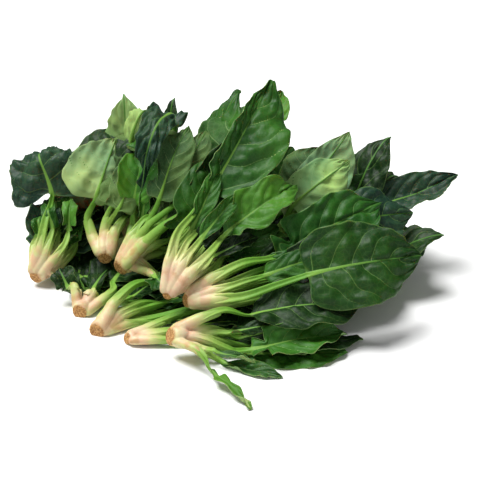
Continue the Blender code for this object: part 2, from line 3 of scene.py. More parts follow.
import math
import random
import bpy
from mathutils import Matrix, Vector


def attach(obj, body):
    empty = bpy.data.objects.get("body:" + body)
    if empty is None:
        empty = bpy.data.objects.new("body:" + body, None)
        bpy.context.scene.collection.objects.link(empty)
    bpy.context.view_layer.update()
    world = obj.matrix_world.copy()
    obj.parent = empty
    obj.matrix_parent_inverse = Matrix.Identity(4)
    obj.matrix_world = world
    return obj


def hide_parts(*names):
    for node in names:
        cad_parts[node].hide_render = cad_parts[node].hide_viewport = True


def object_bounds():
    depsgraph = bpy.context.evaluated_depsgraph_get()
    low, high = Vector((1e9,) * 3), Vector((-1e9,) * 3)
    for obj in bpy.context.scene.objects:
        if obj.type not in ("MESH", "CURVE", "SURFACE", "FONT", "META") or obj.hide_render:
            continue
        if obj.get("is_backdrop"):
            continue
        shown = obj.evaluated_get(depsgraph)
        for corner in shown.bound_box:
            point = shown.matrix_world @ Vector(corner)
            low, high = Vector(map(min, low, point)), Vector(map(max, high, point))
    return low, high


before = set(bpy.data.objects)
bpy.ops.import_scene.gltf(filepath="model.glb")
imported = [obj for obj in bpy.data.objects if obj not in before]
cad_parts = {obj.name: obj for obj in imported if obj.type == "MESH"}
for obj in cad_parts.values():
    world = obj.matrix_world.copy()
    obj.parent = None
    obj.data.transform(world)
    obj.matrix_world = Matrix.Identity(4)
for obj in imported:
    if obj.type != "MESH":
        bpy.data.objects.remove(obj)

import zlib

import bmesh
import bpy
import numpy as np
from mathutils import Vector

solids_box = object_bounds()

# The course of each leaf. A spinach leaf is one growth: a fleshy stalk, grooved along its inner side, that runs on
# as the midrib of a broad blade. Each follows its own solid, whose sections are read here from foot to tip.
MM = 0.001
SECTION = 10  # points round one section of a leaf's solid, half of them on its inner side
SAME_POINT = 0.02 * MM  # points of the solid that are this near each other are one
SOLID_BLADE = 0.9 * MM
BLADE_RIM = SOLID_BLADE * 1.03  # a section whose rim is thinner than this is of the blade
GROOVE = 0.5  # how far the inner side of the solid's stalk stands above its middle, in its radii
NECK_FLATTENING = 0.35  # how far the solid's section at the neck has gone over from stalk to blade
EDGE = 1.12  # where the stalk's inner and outer sides meet, in its radii from the middle


def unit(vectors):
    vectors = np.asarray(vectors, float)
    return vectors / np.maximum(np.linalg.norm(vectors, axis=-1, keepdims=True), 1e-12)


def crown_centre(plant):
    return np.mean([v.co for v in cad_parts[f"{plant}_crown"].data.vertices], axis=0)


def solid_sections(name):
    """The points of a leaf's solid, section by section from foot to tip (n x SECTION x 3), and its tip."""
    work = bmesh.new()
    work.from_mesh(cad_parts[name].data)
    bmesh.ops.remove_doubles(work, verts=work.verts, dist=SAME_POINT)
    beside = {v: {e.other_vert(v) for e in v.link_edges} for v in work.verts}
    crown = Vector(crown_centre(name.split("_leaf_")[0]))
    for tip in sorted(work.verts, key=lambda v: -(v.co - crown).length):
        levels, seen = [{tip}], {tip}
        while levels[-1]:
            levels.append(set().union(*(beside[v] for v in levels[-1])) - seen)
            seen |= levels[-1]
        levels = levels[1:-1]
        if all(len(level) == SECTION for level in levels):
            break
    rings = []
    for level in levels:
        walk = walked_round(level, tip if not rings else None)
        if rings:
            turns = [way[k:] + way[:k] for way in (walk, walk[::-1]) for k in range(SECTION)]
            walk = max(turns, key=lambda turn: sum(a in beside[b] for a, b in zip(turn, rings[-1])))
        rings.append(walk)
    rings.reverse()
    start = max(range(SECTION), key=lambda k: split_alike(rings, beside, k))
    points = [[tuple(ring[(start + k) % SECTION].co) for k in range(SECTION)] for ring in rings]
    end = np.array(tip.co)
    work.free()
    return np.array(points), end


def walked_round(level, tip):
    """The points of one section in order. The one next to the tip is walked the way that the solid's faces turn."""
    if tip:
        corners = list(tip.link_faces[0].verts)
        at = corners.index(tip)
        walk = [corners[(at + 1) % 3], corners[(at + 2) % 3]]
    else:
        walk = [next(iter(level))]
        walk.append(next(w for w in rim_neighbours(walk[0], level)))
    while len(walk) < SECTION:
        walk.append(next(w for w in rim_neighbours(walk[-1], level) if w is not walk[-2]))
    return walk


def rim_neighbours(vertex, level):
    """The two points of the section on either side of this one."""
    for edge in vertex.link_edges:
        other = edge.other_vert(vertex)
        if other in level and any(v not in level for face in edge.link_faces for v in face.verts):
            yield other


def split_alike(rings, beside, start):
    """How many of the solid's quads are split as those of a leaf whose inner rim is point start."""
    score = 0
    for a, b in zip(rings, rings[1:]):
        for k in range(SECTION):
            here, after = (start + k) % SECTION, (start + k + 1) % SECTION
            score += b[after] in beside[a[here]] if k < SECTION // 2 else b[here] in beside[a[after]]
    return score


class Course:
    """A leaf's course: for each section its middle, the way out of its inner side, the stalk's radius there, and
    how far it is to the middle and the rim of each half blade. neck is the last section of the stalk."""

    def __init__(self, centre, inner, radius, halves, rims, neck, tip):
        self.centre, self.inner, self.radius = centre, inner, radius
        self.halves, self.rims, self.neck, self.tip = halves, rims, neck, tip


def course_of(name):
    rings, tip = solid_sections(name)
    half = SECTION // 2
    inner_side, outer_side = rings[:, :half], rings[:, : half - 1 : -1]
    middle = (inner_side + outer_side) / 2
    rise = inner_side[:, 2] - outer_side[:, 2]
    depth = np.linalg.norm(rise, axis=1)
    inner = unit(rise)
    rim_depth = np.linalg.norm(inner_side[:, 0] - outer_side[:, 0], axis=1)
    neck = int(np.argmax(rim_depth < BLADE_RIM)) - 1
    stalk = np.where(np.arange(len(rings)) < neck, 1.0, 0.0)
    stalk[neck] = 1 - NECK_FLATTENING
    radius = (depth - (1 - stalk) * SOLID_BLADE) / (1 + GROOVE * stalk)
    centre = inner_side[:, 2] - inner * (stalk * radius * GROOVE + (1 - stalk) * SOLID_BLADE / 2)[:, None]
    across = unit(middle[:, 4] - middle[:, 0])
    halves = np.stack([middle[:, 1] - centre, middle[:, 3] - centre])
    rims = np.stack([middle[:, 0] - centre, middle[:, 4] - centre])
    for side, sign in ((0, -1), (1, 1)):
        edge = sign * across[: neck + 1] * radius[: neck + 1, None] * EDGE
        halves[side, : neck + 1], rims[side, : neck + 1] = edge / 2, edge
    return Course(centre, inner, radius, halves, rims, neck, tip)


leaf_names = sorted(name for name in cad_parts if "_leaf_" in name)
courses = {name: course_of(name) for name in leaf_names}
plants = sorted({name.split("_leaf_")[0] for name in leaf_names})
leaves_of = {plant: [name for name in leaf_names if name.startswith(plant + "_leaf_")] for plant in plants}

# The flesh of stalks and blades. A stalk is cream at the crown and then ever greener. A blade is glossy and dark on
# its inner side and pale and dull on its outer one, quilted between side veins, with a fine net of veins all over.
HIDDEN = 4 * MM  # of each stalk inside its crown
STALK_ROWS = 3.0 * MM
BLADE_ROWS = 1.7 * MM
TIP_ROWS = 12
LAST_ROW = 0.998  # how near the last of them is to the very tip
FEWEST_STALK_ROWS, FEWEST_BLADE_ROWS, FEWEST_COLUMNS = 6, 16, 10
RIB_COLUMNS = (0.35, 0.7, 0.95, 1.15)  # columns beside the midrib, in its radii
RIB_WIDEST = 0.985  # how much of a half blade they take at most
BLADE = 0.5 * MM  # thickness of the real blade
ON_FLOOR = 0.2 * MM  # where flesh that would sink into the floor lies on it instead


def between(knots, values, places):
    """The smooth curve through values (n x 3) at knots, read at places, which never swings past its values."""
    steps = np.diff(knots)[:, None]
    slopes = np.diff(values, axis=0) / steps
    speeds = np.linalg.norm(slopes, axis=1, keepdims=True)
    ahead, behind = slopes[1:], slopes[:-1]
    near = 2 * speeds[1:] * speeds[:-1] / np.maximum(speeds[1:] + speeds[:-1], 1e-9)
    bends = unit(ahead * steps[:-1] + behind * steps[1:]) * near
    bends[(ahead * behind).sum(axis=1) < 0] = 0
    tangents = np.concatenate([slopes[:1], bends, slopes[-1:]])
    spans = np.clip(np.searchsorted(knots, places, side="right") - 1, 0, len(knots) - 2)
    width = steps[spans]
    t = np.clip((places - knots[spans])[:, None] / width, 0, 1)
    return (
        values[spans] * (2 * t**3 - 3 * t**2 + 1) + values[spans + 1] * (3 * t**2 - 2 * t**3)
        + tangents[spans] * width * (t**3 - 2 * t**2 + t) + tangents[spans + 1] * width * (t**3 - t**2)
    )


def step(low, high, values):
    """0 below low and 1 above high, eased between them."""
    t = np.clip((values - low) / (high - low), 0, 1)
    return t * t * (3 - 2 * t)


def ripple(x, y, size, rng):
    """A smooth uneven surface between about -1 and 1, with bumps about as wide as size."""
    total = 0
    for _ in range(7):
        angle, reach, phase = rng.uniform(0, math.pi), rng.uniform(0.7, 1.5), rng.uniform(0, 2 * math.pi)
        total = total + np.cos(2 * math.pi / (2 * size) * reach * (x * math.cos(angle) + y * math.sin(angle)) + phase)
    return total / 3.2


GREENS = {  # the inner side, and the outer one
    "deep": ((0.004, 0.022, 0.003), (0.060, 0.125, 0.038)),
    "dusky": ((0.013, 0.042, 0.024), (0.13, 0.24, 0.13)),
    "fresh": ((0.018, 0.088, 0.009), (0.18, 0.32, 0.12)),
    "bright": ((0.045, 0.160, 0.016), (0.23, 0.36, 0.16)),
    "pale": ((0.15, 0.27, 0.10), (0.18, 0.32, 0.12)),
    "shaded": ((0.010, 0.050, 0.006), (0.020, 0.074, 0.015)),
}
SHADES = (0.85, 1.15)  # one leaf is this much darker or lighter than the next
PALE = {"centre": 1.7, "centre_right": 1.25, "far_left": 1.2}  # how much further a plant's stalks stay pale

OPENING = 6 * MM  # how far before its neck a stalk starts to open into its blade
RIB_THINNING, THIN_FROM = 0.45, 0.3  # what a midrib has lost of its radius at this share of the blade
STALK_SWELLING = 0.3  # what a stalk has gained of it near its crown
SWOLLEN, SLENDER = 10 * MM, 60 * MM  # to here it has gained all of that, and from here nothing
TIP_FROM, TIP_LENGTH = 0.55, 0.45  # where a blade narrows to its tip, in shares of its length
LOBE, NOTCH = (0.10, 0.05), (0.24, 0.07)  # where a blade's foot spreads and is nipped in, and over how much of it
TAPERED = 0.5  # what is left of a stalk's radius where it ends inside the crown
UNEVEN = 0.06  # how far a rim strays in and out, as a share of its half blade

SIDE_VEINS = 5.5  # about as many on each half blade
SLANT, HOOK = 0.20, 0.16  # how far a side vein runs forward on its way to the rim, straight and curving
VEIN_WANDER = 0.10  # how far a side vein strays, as a share of the way to the next
SWELLS, PUCKERS, CRINKLES = 16 * MM, 7 * MM, 3.2 * MM  # sizes of the bumps of a blade
WAVES, FRILLS = 17 * MM, 6 * MM  # and of those of its rim
PILLOW_HEIGHT, SWELL_HEIGHT, PUCKER_HEIGHT = 1.2, 0.8, 0.5  # as shares of the quilting
CRINKLE_HEIGHT, SMOOTH_CRINKLE_HEIGHT = 0.35, 0.12
FRILL_HEIGHT = 0.25  # as a share of the ruffle
FLAT_BY_RIB = (0.9, 4.5)  # to here the blade is flat, and from here fully quilted, in the midrib's radii
CRINKLED = 2.5  # the quilting of a leaf that is crinkled too, in millimetres

GROOVE_FLOOR, GROOVE_RISE = 0.35, 0.32  # of the stalk's inner side, in its radii above the middle
SHOULDER, SHOULDER_TOP = 0.75, 0.67  # where the groove's shoulders stand beside the middle, and how high
RIB_INSIDE, RIB_OUTSIDE = 0.28, 0.95  # how far a midrib stands out of the blade's two sides, in its radii


def lengths_along(line):
    """How far each point of a line is from its start, along it."""
    return np.concatenate([[0], np.cumsum(np.linalg.norm(np.diff(line, axis=0), axis=1))])


def rows_along(neck, last, end):
    """Where the rows of points lie: on the stalk, on the blade, and ever closer to each other at the tip."""
    closing = np.sin(np.linspace(0, math.pi / 2, TIP_ROWS + 1))[1:] * LAST_ROW
    return np.concatenate([
        np.linspace(0, neck, max(FEWEST_STALK_ROWS, round(neck / STALK_ROWS)), endpoint=False),
        np.linspace(neck, last, max(FEWEST_BLADE_ROWS, round((last - neck) / BLADE_ROWS)), endpoint=False),
        last + (end - last) * np.concatenate([[0], closing]),
    ])


def ends_doubled(values):
    return np.concatenate([values[:1], values, values[-1:]])


def outline_of(along, point, lobes):
    """How wide the blade is at each row, as a share of its solid's width."""
    outline = (1 - point * np.clip((along - TIP_FROM) / TIP_LENGTH, 0, 1) ** 3) ** 0.7
    lobe, notch = (np.exp(-(((along - place) / wide) ** 2)) for place, wide in (LOBE, NOTCH))
    return outline + lobes * (0.5 * lobe - 0.5 * notch)


def half_sheet(middle, half, rim, radius, columns):
    """The points of one half blade, their share of the way to the rim, and how far they are from the middle of the
    midrib, in metres and in its radii."""
    wide = np.linalg.norm(rim, axis=1)
    beside_rib = np.minimum(
        np.outer(radius / np.maximum(wide, 1e-6), RIB_COLUMNS), np.array(RIB_COLUMNS) / RIB_COLUMNS[-1] * RIB_WIDEST
    )
    outer = beside_rib[:, -1:] + (1 - beside_rib[:, -1:]) * (np.arange(1, columns + 1) / columns)
    share = np.concatenate([beside_rib, outer], axis=1)
    s = share[:, :, None]
    points = middle[:, None] + half[:, None] * 4 * s * (1 - s) + rim[:, None] * s * (2 * s - 1)
    away = share * wide[:, None]
    return points, share, away, away / np.maximum(radius, 1e-5)[:, None]


def sheet_normals(grid, inner, soft):
    """The way out of the inner side at each point: the sheet's own where soft is 1, and the course's where it is 0."""
    across_way, along_way = np.gradient(grid, axis=1), np.gradient(grid, axis=0)
    normal = unit(np.cross(across_way, along_way))
    normal *= np.sign((normal * inner[:, None]).sum(axis=2, keepdims=True).mean(axis=1, keepdims=True))
    return unit(normal * soft + inner[:, None] * (1 - soft))


def side_veins(share, x, y, along, rng):
    """A number that is whole on each side vein. The veins of the right half start between those of the left."""
    right = np.arange(x.shape[1]) > x.shape[1] // 2
    slant = (SLANT * share + HOOK * share**3) * np.clip(along / 0.25 + 0.1, 0, 1)
    vein = SIDE_VEINS * (along * 1.1 - slant) + 0.5 * right + rng.uniform(0, 1)
    return vein + VEIN_WANDER * ripple(x, y, SWELLS, rng)


def quilted(share, x, y, rib, vein, quilting, ruffle, rng):
    """How far the blade is raised at each point, in millimetres."""
    pillow = np.abs(np.sin(math.pi * vein))
    quilt = (pillow**0.6 - 0.6) * (1 - 0.3 * share) * PILLOW_HEIGHT
    crinkle = CRINKLE_HEIGHT if quilting > CRINKLED else SMOOTH_CRINKLE_HEIGHT
    fine = PUCKER_HEIGHT * ripple(x, y, PUCKERS, rng) + crinkle * ripple(x, y, CRINKLES, rng)
    quilt = quilt + (0.3 + 0.7 * pillow) * fine
    quilt = quilt + SWELL_HEIGHT * ripple(x, y, SWELLS, rng)
    waves = share**2.5 * ripple(x * 0.3, y, WAVES, rng)
    frills = FRILL_HEIGHT * share**6 * ripple(x * 0.3, y, FRILLS, rng)
    return quilting * quilt * step(*FLAT_BY_RIB, rib) + ruffle * (waves + frills)


def skins(grid, normal, rib, thick, stalk):
    """The inner and outer sides of the leaf: a grooved round stalk, and a thin blade with a midrib on both sides."""
    groove = GROOVE_FLOOR + GROOVE_RISE * np.sin(math.pi / 2 * np.minimum(rib / SHOULDER, 1)) ** 2
    brow = SHOULDER_TOP * np.sqrt(np.clip(1 - ((rib - SHOULDER) / (EDGE - SHOULDER)) ** 2, 0, 1))
    shoulder = np.where(rib < SHOULDER, groove, brow)
    round_back = np.sqrt(np.clip(1 - (rib / EDGE) ** 2, 0, 1))
    above = stalk * shoulder * thick + (1 - stalk) * (BLADE / 2 + RIB_INSIDE * thick * np.clip(1 - rib**2, 0, 1))
    below = stalk * round_back * thick + (1 - stalk) * (BLADE / 2 + RIB_OUTSIDE * thick * round_back)
    inner_side = grid + normal * above[:, :, None]
    outer_side = grid - normal * below[:, :, None]
    inner_side[:, :, 2] = np.maximum(inner_side[:, :, 2], ON_FLOOR + BLADE)
    outer_side[:, :, 2] = np.maximum(outer_side[:, :, 2], ON_FLOOR)
    return inner_side, outer_side


def marked(mesh, **marks):
    """Gives the mesh a number at each point, under the name that its material reads."""
    for label, values in marks.items():
        mesh.attributes.new(label, "FLOAT", "POINT").data.foreach_set("value", values.astype(np.float32))


def placed(name, data):
    """The thing in the scene that shows this mesh, lamp or camera."""
    made = bpy.data.objects.new(name, data)
    bpy.context.scene.collection.objects.link(made)
    return made


def blade_object(name, course, green, quilting, ruffle, seed, widths=(1, 1), point=1, lobes=0):
    """The stalk and blade of one leaf as a closed mesh, with what its material reads at each point. widths is for
    the two half blades, point is how far the tip is drawn out and lobes how much the foot of the blade spreads."""
    rng = random.Random(seed)
    back = unit(course.centre[1] - course.centre[0]) * HIDDEN
    centre = np.concatenate([[course.centre[0] - back], course.centre, [course.tip]])
    knots = lengths_along(centre)
    neck, first_blade, last, end = knots[course.neck + 1], knots[course.neck + 2], knots[-2], knots[-1]
    rows = rows_along(neck, last, end)
    along = (rows - neck) / (end - neck)
    close = np.sqrt(1 - np.clip((rows - last) / (end - last), 0, 1) ** 2)[:, None]
    bladed = step(neck - OPENING, first_blade, rows)
    middle = between(knots, centre, rows)
    inner = unit(between(knots, ends_doubled(course.inner), rows))
    radius = np.interp(rows, knots, ends_doubled(course.radius)) * (TAPERED + (1 - TAPERED) * step(0, HIDDEN, rows))
    radius *= np.where(rows > last, np.sqrt(close[:, 0]), 1)
    radius *= 1 - RIB_THINNING * step(0, THIN_FROM, along) + STALK_SWELLING * (1 - step(SWOLLEN, SLENDER, rows))

    outline = outline_of(along, point, lobes)
    strays = [ripple(np.zeros_like(rows), rows, WAVES, rng) for _ in range(2)]
    columns = max(FEWEST_COLUMNS, round(np.linalg.norm(course.rims, axis=2).max() / BLADE_ROWS))
    sheets = []
    for half, rim, width, stray in zip(course.halves, course.rims, widths, strays):
        shaped = 1 + bladed * (width * outline * (1 + UNEVEN * stray) - 1)
        half, rim = (between(knots[1:-1], way, rows) * close * shaped[:, None] for way in (half, rim))
        sheets.append(half_sheet(middle, half, rim, radius, columns))
    (left, *left_marks), (right, *right_marks) = sheets
    grid = np.concatenate([left[:, ::-1], middle[:, None], right], axis=1)
    none = np.zeros((len(rows), 1))
    share, x, rib = (
        np.concatenate([sign * a[:, ::-1], none, b], axis=1) for sign, a, b in zip((1, -1, 1), left_marks, right_marks)
    )
    y, v = (np.broadcast_to(values[:, None], x.shape) for values in (rows, along))

    normal = sheet_normals(grid, inner, step(0, 1, bladed)[:, None, None])
    vein = side_veins(share, x, y, v, rng)
    lift = quilted(share, x, y, rib, vein, quilting, ruffle, rng) * MM * bladed[:, None] * close
    grid = grid + normal * lift[:, :, None]
    inner_side, outer_side = skins(grid, normal, rib, radius[:, None], 1 - bladed[:, None])

    loop = np.concatenate([inner_side, outer_side[:, ::-1]], axis=1)
    count, around = loop.shape[:2]
    points = loop.reshape(-1, 3)
    faces = []
    for here in range(0, (count - 1) * around, around):
        there = here + around
        faces += [(here + k, here + (k + 1) % around, there + (k + 1) % around, there + k) for k in range(around)]
    faces.append(tuple(range(around))[::-1])
    faces.append(tuple((count - 1) * around + k for k in range(around)))
    made = bpy.data.meshes.new(name)
    made.from_pydata(points.tolist(), [], faces)
    made.shade_smooth()

    plant = name.split("_leaf_")[0].split("_shoot_")[0]
    rib, vein, rim, v = (np.concatenate([values, values[:, ::-1]], axis=1).ravel() for values in (rib, vein, share, v))
    reach = np.linalg.norm(points - crown_centre(plant), axis=1) / PALE.get(plant, 1)
    outer = np.concatenate([np.zeros_like(x), np.ones_like(x)], axis=1).ravel()
    marked(made, rib=rib, vein=vein, rim=rim, along=v, reach=reach, outer=outer)
    shade = rng.uniform(*SHADES)
    colours = np.ones((count, around, 4), np.float32)
    colours[:, : around // 2, :3], colours[:, around // 2 :, :3] = (np.array(side) * shade for side in GREENS[green])
    made.attributes.new("green", "FLOAT_COLOR", "POINT").data.foreach_set("color", colours.ravel())
    return placed(name, made)


class Socket:
    """A socket in a material's nodes. An expression on it adds Math nodes, and node() adds any other node."""

    def __init__(self, tree, socket=None):
        self.tree, self.socket = tree, socket

    def node(self, kind, settings, inputs, out=0):
        made = self.tree.nodes.new(kind)
        for key, value in settings.items():
            if key == "stops":
                while len(made.color_ramp.elements) < len(value):
                    made.color_ramp.elements.new(0.5)
                for element, (place, colour) in zip(made.color_ramp.elements, value):
                    element.position, element.color = place, (*colour, 1)
            else:
                setattr(made, key, value)
        for key, value in inputs.items():
            if isinstance(value, Socket):
                self.tree.links.new(value.socket, made.inputs[key])
            elif isinstance(value, tuple) and made.inputs[key].type == "RGBA":
                made.inputs[key].default_value = (*value, 1)
            else:
                made.inputs[key].default_value = value
        return Socket(self.tree, made.outputs[out])

    def sum(self, operation, *values):
        return self.node("ShaderNodeMath", {"operation": operation}, dict(enumerate(values)))

    def __add__(self, other):
        return self.sum("ADD", self, other)

    def __radd__(self, other):
        return self.sum("ADD", other, self)

    def __sub__(self, other):
        return self.sum("SUBTRACT", self, other)

    def __rsub__(self, other):
        return self.sum("SUBTRACT", other, self)

    def __mul__(self, other):
        return self.sum("MULTIPLY", self, other)

    def __rmul__(self, other):
        return self.sum("MULTIPLY", other, self)

    def step(self, low, high):
        return self.node(
            "ShaderNodeMapRange", {"interpolation_type": "SMOOTHSTEP"},
            {"Value": self, "From Min": low, "From Max": high},
        )

    def mix(self, first, second):
        """first where this is 0, and second where it is 1."""
        return self.node("ShaderNodeMix", {"data_type": "RGBA"}, {0: self, 6: first, 7: second}, out=2)

    def times(self, colour):
        """This colour multiplied by another."""
        settings = {"data_type": "RGBA", "blend_type": "MULTIPLY"}
        return self.node("ShaderNodeMix", settings, {0: 1.0, 6: self, 7: colour}, out=2)

    def bump(self, depth):
        """The normals of a surface with this height, in shares of depth."""
        return self.node("ShaderNodeBump", {}, {"Height": self, "Strength": 0.5, "Distance": depth})

    def place(self):
        """Where in the bunch each point is."""
        return self.node("ShaderNodeTexCoord", {}, {}, out="Object")

    def read(self, label):
        """What the mesh gives at each point under this name."""
        out = "Color" if label == "green" else "Fac"
        return self.node("ShaderNodeAttribute", {"attribute_name": label}, {}, out=out)

    def noise(self, place, scale, detail=3, roughness=0.5):
        inputs = {"Vector": place, "Scale": scale, "Detail": detail, "Roughness": roughness}
        return self.node("ShaderNodeTexNoise", {}, inputs)


def new_material(name, **constants):
    """A material's Principled shader, and a socket to start its nodes from."""
    made = bpy.data.materials.new(name)
    made.use_nodes = True
    shader = made.node_tree.nodes["Principled BSDF"]
    for key, value in constants.items():
        shader.inputs[key.replace("_", " ")].default_value = value
    return made, shader, Socket(made.node_tree)


def wired(shader, start, **inputs):
    for key, value in inputs.items():
        start.tree.links.new(value.socket, shader.inputs[key.replace("_", " ")])


STALK_STOPS = (  # colours by distance from the crown, to STALK_REACH
    (0.0, (0.64, 0.42, 0.27)), (0.055, (0.68, 0.56, 0.35)), (0.105, (0.50, 0.53, 0.20)),
    (0.17, (0.27, 0.42, 0.085)), (0.30, (0.13, 0.31, 0.035)), (1.0, (0.05, 0.18, 0.016)),
)
STALK_REACH = 130 * MM
SIDE_VEIN_COLOURS = (0.16, 0.30, 0.07), (0.30, 0.42, 0.17)  # on the inner side of the blade and the outer one
MIDRIB_COLOURS = (0.17, 0.34, 0.05), (0.06, 0.17, 0.025)  # at its foot and at its tip
PATCHY = (0.55, 0.70, 0.72), (1.6, 1.35, 1.0)  # what the green is multiplied by in its dark and light patches
FIBRE_SHADE = (0.86, 0.90, 0.80)


def stalk_colour(start, place):
    reach = start.read("reach") * (1 / STALK_REACH) + start.noise(place, 60) * 0.06 - 0.03
    return start.node("ShaderNodeValToRGB", {"stops": STALK_STOPS}, {0: reach})


def leaf_material():
    made, shader, start = new_material(
        "leaf", Specular_IOR_Level=0.18, Subsurface_Weight=0.06, Subsurface_Scale=4 * MM,
    )
    place = start.place()
    rib, rim, outer, along = (start.read(label) for label in ("rib", "rim", "outer", "along"))
    blade_part = along.step(-0.03, 0.05)
    patches = start.noise(place, 22, 2)
    grain = start.noise(place, 900, 2)
    gap = start.sum("PINGPONG", start.read("vein"), 0.5)
    fade = 1 - rim.step(0.3, 1.0) * 0.75
    side_vein = (1 - gap.step(0.006, 0.035)) * fade * blade_part
    cells = start.node("ShaderNodeTexVoronoi", {"feature": "DISTANCE_TO_EDGE"}, {"Vector": place, "Scale": 230.0})
    net = (1 - cells.step(0.0, 0.10)) * blade_part

    green = start.read("green").times(patches.step(0.3, 0.7).mix(*PATCHY))
    pale_vein = outer.mix(*SIDE_VEIN_COLOURS)
    for part in (net * 0.07, side_vein * 0.42, rim.step(0.965, 1.0) * 0.4):
        green = part.mix(green, pale_vein)
    stalk = stalk_colour(start, place)
    fibres = start.noise(place, 420, 4).step(0.35, 0.7)
    stalk = fibres.mix(stalk.times(FIBRE_SHADE), stalk)
    stalk = blade_part.mix(stalk, along.step(0.0, 0.8).mix(*MIDRIB_COLOURS))
    covered = 1 - rib.step(0.75, 1.3) * blade_part
    colour = covered.mix(green, stalk)

    dull = 0.40 + outer * 0.2 + patches * 0.14 + grain * 0.04
    height = cells.step(0.0, 0.35) * 0.2 * blade_part - side_vein * 0.6 + grain * 0.05 + fibres * (1 - blade_part) * 0.2
    wired(shader, start, Base_Color=colour, Roughness=dull, Normal=height.bump(0.6 * MM))
    return made


leaf_flesh = leaf_material()
LOOKS = {  # colour, quilting and ruffle in millimetres, and then how far the blade parts from its solid's shape
    "far_left_leaf_5": ("dusky", 2.6, 4.0),
    "far_left_leaf_4": ("bright", 1.4, 4.0, (0.45, 0.45)),
    "rear_left_leaf_1": ("bright", 2.2, 2.5),
    "rear_left_leaf_2": ("dusky", 2.6, 3.0),
    "inner_left_leaf_4": ("fresh", 1.8, 4.0, (0.35, 0.35)),
    "inner_left_leaf_5": ("dusky", 3.0, 4.0, (0.4, 0.5)),
    "inner_left_leaf_3": ("deep", 1.8, 2.5),
    "mid_left_leaf_2": ("shaded", 2.2, 3.0),
    "mid_left_leaf_3": ("dusky", 2.6, 3.0),
    "mid_left_leaf_4": ("bright", 1.8, 2.5),
    "centre_leaf_1": ("fresh", 1.8, 2.5, (0.8, 0.8), 1, 0.5),
    "centre_leaf_2": ("fresh", 2.4, 3.0, (0.4, 1.15), 0.8),
    "centre_leaf_3": ("bright", 2.0, 3.0, (0.8, 0.8), 1, 0.7),
    "centre_leaf_4": ("bright", 1.8, 3.0, (0.7, 0.7), 1, 0.5),
    "centre_right_leaf_2": ("dusky", 1.8, 2.5, (0.8, 0.8)),
    "centre_right_leaf_3": ("fresh", 2.0, 3.5, (0.8, 1)),
    "centre_right_leaf_4": ("shaded", 2.3, 3.0, (0.85, 0.85)),
    "front_right_leaf_1": ("fresh", 1.8, 3.0),
    "front_right_leaf_2": ("deep", 1.6, 3.0),
    "front_right_leaf_3": ("bright", 1.0, 2.5, (0.4, 0.4)),
    "inner_middle_leaf_3": ("bright", 1.5, 2.0, (0.6, 0.6)),
    "inner_right_leaf_3": ("deep", 2.0, 2.5, (0.75, 0.75)),
    "inner_right_leaf_4": ("dusky", 2.0, 1.2, (0.7, 0.7)),
    "inner_right_leaf_5": ("bright", 1.4, 2.0, (0.8, 0.45)),
    "inner_right_leaf_6": ("bright", 1.6, 2.0, (0.55, 0.55)),
}
PLANT_LOOK = {"far_left": "dusky", "rear_left": "fresh", "mid_left": "fresh", "front_right": "fresh"}
for number, name in enumerate(leaf_names):
    look = LOOKS.get(name, (PLANT_LOOK.get(name.split("_leaf_")[0], "deep"), 2.0, 3.0))
    leaf = blade_object(name + "_flesh", courses[name], *look[:3], number, *look[3:])
    leaf.data.materials.append(leaf_flesh)
    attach(leaf, "root")
    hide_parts(name)

# The further leaves of each crown, between the ones that have a solid. A crown carries many: full leaves that lie a
# little deeper in the heap, and young ones, short and upright, round its heart.
DEEPER = 14 * MM  # how far below its two neighbours a full leaf lies
PROUDER = 1 * MM  # how far above them a young one stands
WIDEST_PAIR = math.cos(math.radians(62))  # neighbours that part by more than this have no leaf between them
STALK_PLACES = np.linspace(0, 1, 4)
BLADE_PLACES = np.array([0.1, 0.25, 0.45, 0.7, 0.95])
LOWEST_STALK, LOWEST_BLADE, LOWEST_TIP = 3.5 * MM, 2.0 * MM, 1.5 * MM  # above the floor
FURTHER_QUILTING, FURTHER_RUFFLE = 1.8, 3.0  # in millimetres
FULL_SIZES, YOUNG_SIZES = (0.82, 0.95), (0.45, 0.65)  # lengths, as shares of the neighbours'
FULL_WIDTH, YOUNG_WIDTH = 0.7, 0.5
NEARNESS = (0.35, 0.65)  # to the first neighbour, where 1 is on it
GIRTHS = (0.7, 0.9)  # of the stalks, as shares of the neighbours'
MOST_LOBED = 0.4


def read_at(course):
    """The course's values at the places on its stalk and its blade."""
    knots = lengths_along(course.centre)
    neck = knots[course.neck]
    places = np.concatenate([neck * STALK_PLACES, neck + (knots[-1] - neck) * BLADE_PLACES])
    values = [course.centre, course.inner, *course.halves, *course.rims]
    centre, inner, *wings = (between(knots, v, places) for v in values)
    return centre, unit(inner), np.interp(places, knots, course.radius), wings


